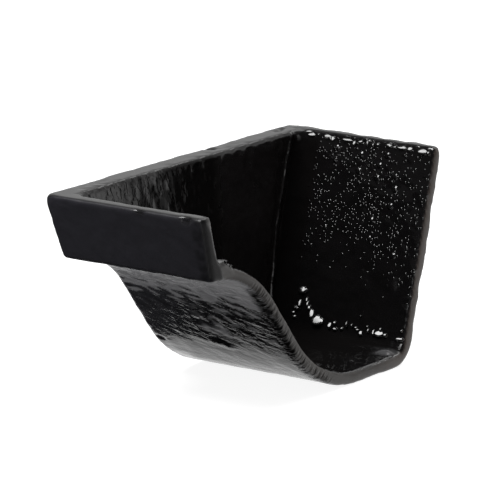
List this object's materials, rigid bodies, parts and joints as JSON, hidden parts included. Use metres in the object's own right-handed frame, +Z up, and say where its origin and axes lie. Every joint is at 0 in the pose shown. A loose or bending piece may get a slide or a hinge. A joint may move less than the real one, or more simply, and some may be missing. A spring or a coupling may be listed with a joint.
{
  "type": "gutter end cap",
  "caption": "Cast ogee gutter end cap: a short moulded trough open on top and at one end, closed at the other, with a flat leaning front band and a leaning back wall.",
  "frame": {"origin": "under the middle of the top rim, level with the flat underside", "axes": "+X along the gutter, out of the open joining end; +Y towards the back, which meets the fascia board; +Z up"},
  "size_m": [0.0542, 0.1144, 0.061],
  "materials": {
    "painted_iron": "gloss black paint over a rough sand casting"
  },
  "bodies": {
    "root": {"stop_end": "painted_iron"}
  },
  "joints": []
}
